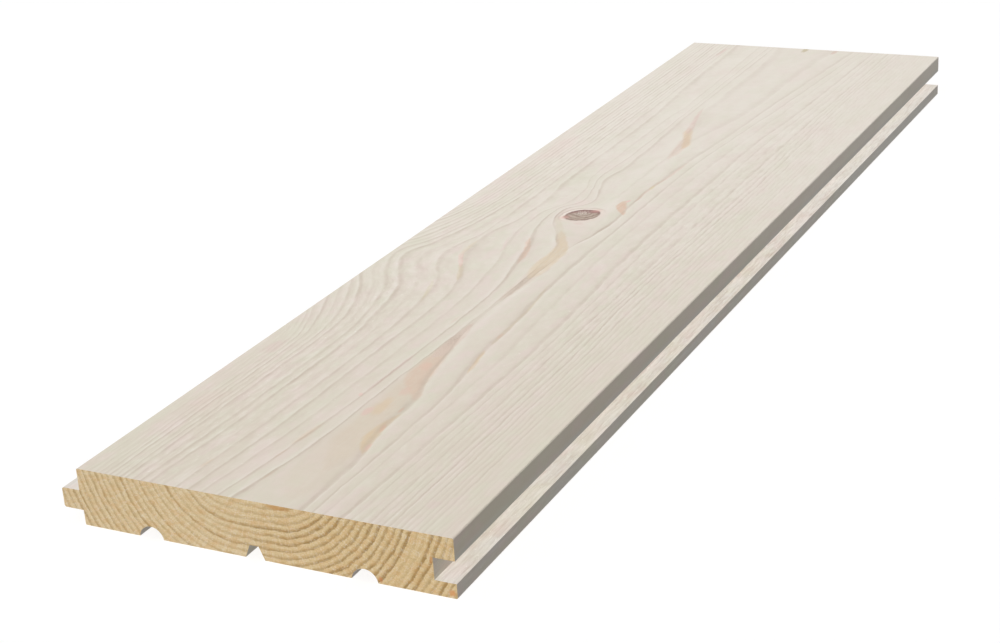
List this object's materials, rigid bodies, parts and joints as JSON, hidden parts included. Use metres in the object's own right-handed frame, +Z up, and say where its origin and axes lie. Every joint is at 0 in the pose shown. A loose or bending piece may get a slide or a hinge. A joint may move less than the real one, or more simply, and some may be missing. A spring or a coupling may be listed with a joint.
{
  "type": "tongue and groove board",
  "caption": "Planed pine board with a tongue along one edge, a groove along the other and relief channels in its underside.",
  "frame": {"origin": "middle of the flat underside, with the tongue counted in the width", "axes": "+Z up through the face, +Y along the board's length, +X from the tongue edge towards the groove edge"},
  "size_m": [0.142, 0.545, 0.02],
  "materials": {
    "pine": "planed and brushed, pale whitened face, bare sawn ends"
  },
  "bodies": {
    "root": {"tongue_and_groove_board": "pine"}
  },
  "joints": []
}
